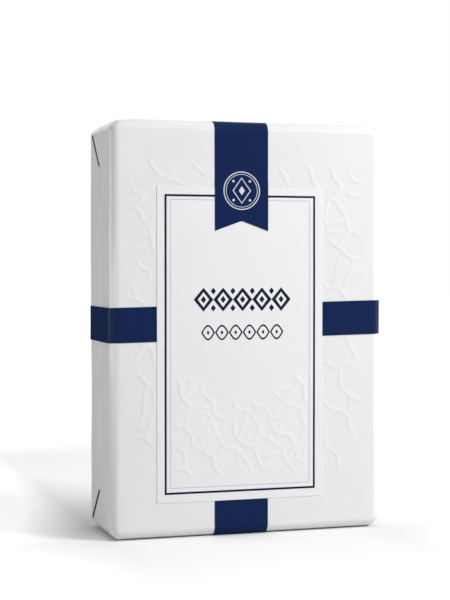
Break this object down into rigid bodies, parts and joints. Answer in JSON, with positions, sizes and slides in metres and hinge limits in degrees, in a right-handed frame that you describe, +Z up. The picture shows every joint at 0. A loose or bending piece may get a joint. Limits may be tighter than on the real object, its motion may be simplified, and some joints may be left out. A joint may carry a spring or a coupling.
{
  "type": "paper-wrapped cheese block",
  "caption": "Upright block of white cheese in folded white paper, with a framed front label, a navy paper band round its middle and a navy paper ribbon over its top.",
  "frame": {"origin": "centre of the pack's footprint, on the surface that it stands on", "axes": "+Z up along the pack's height, the label on the -Y side, +X to the right as the label is seen"},
  "size_m": [0.1004, 0.0342, 0.1445],
  "materials": {
    "wrapper_paper": "matt",
    "label_paper": "matt",
    "navy_paper": "satin"
  },
  "bodies": {
    "root": {"wrapped_block": "wrapper_paper", "label": "label_paper", "belly_band": "navy_paper", "ribbon": "navy_paper"}
  },
  "joints": []
}
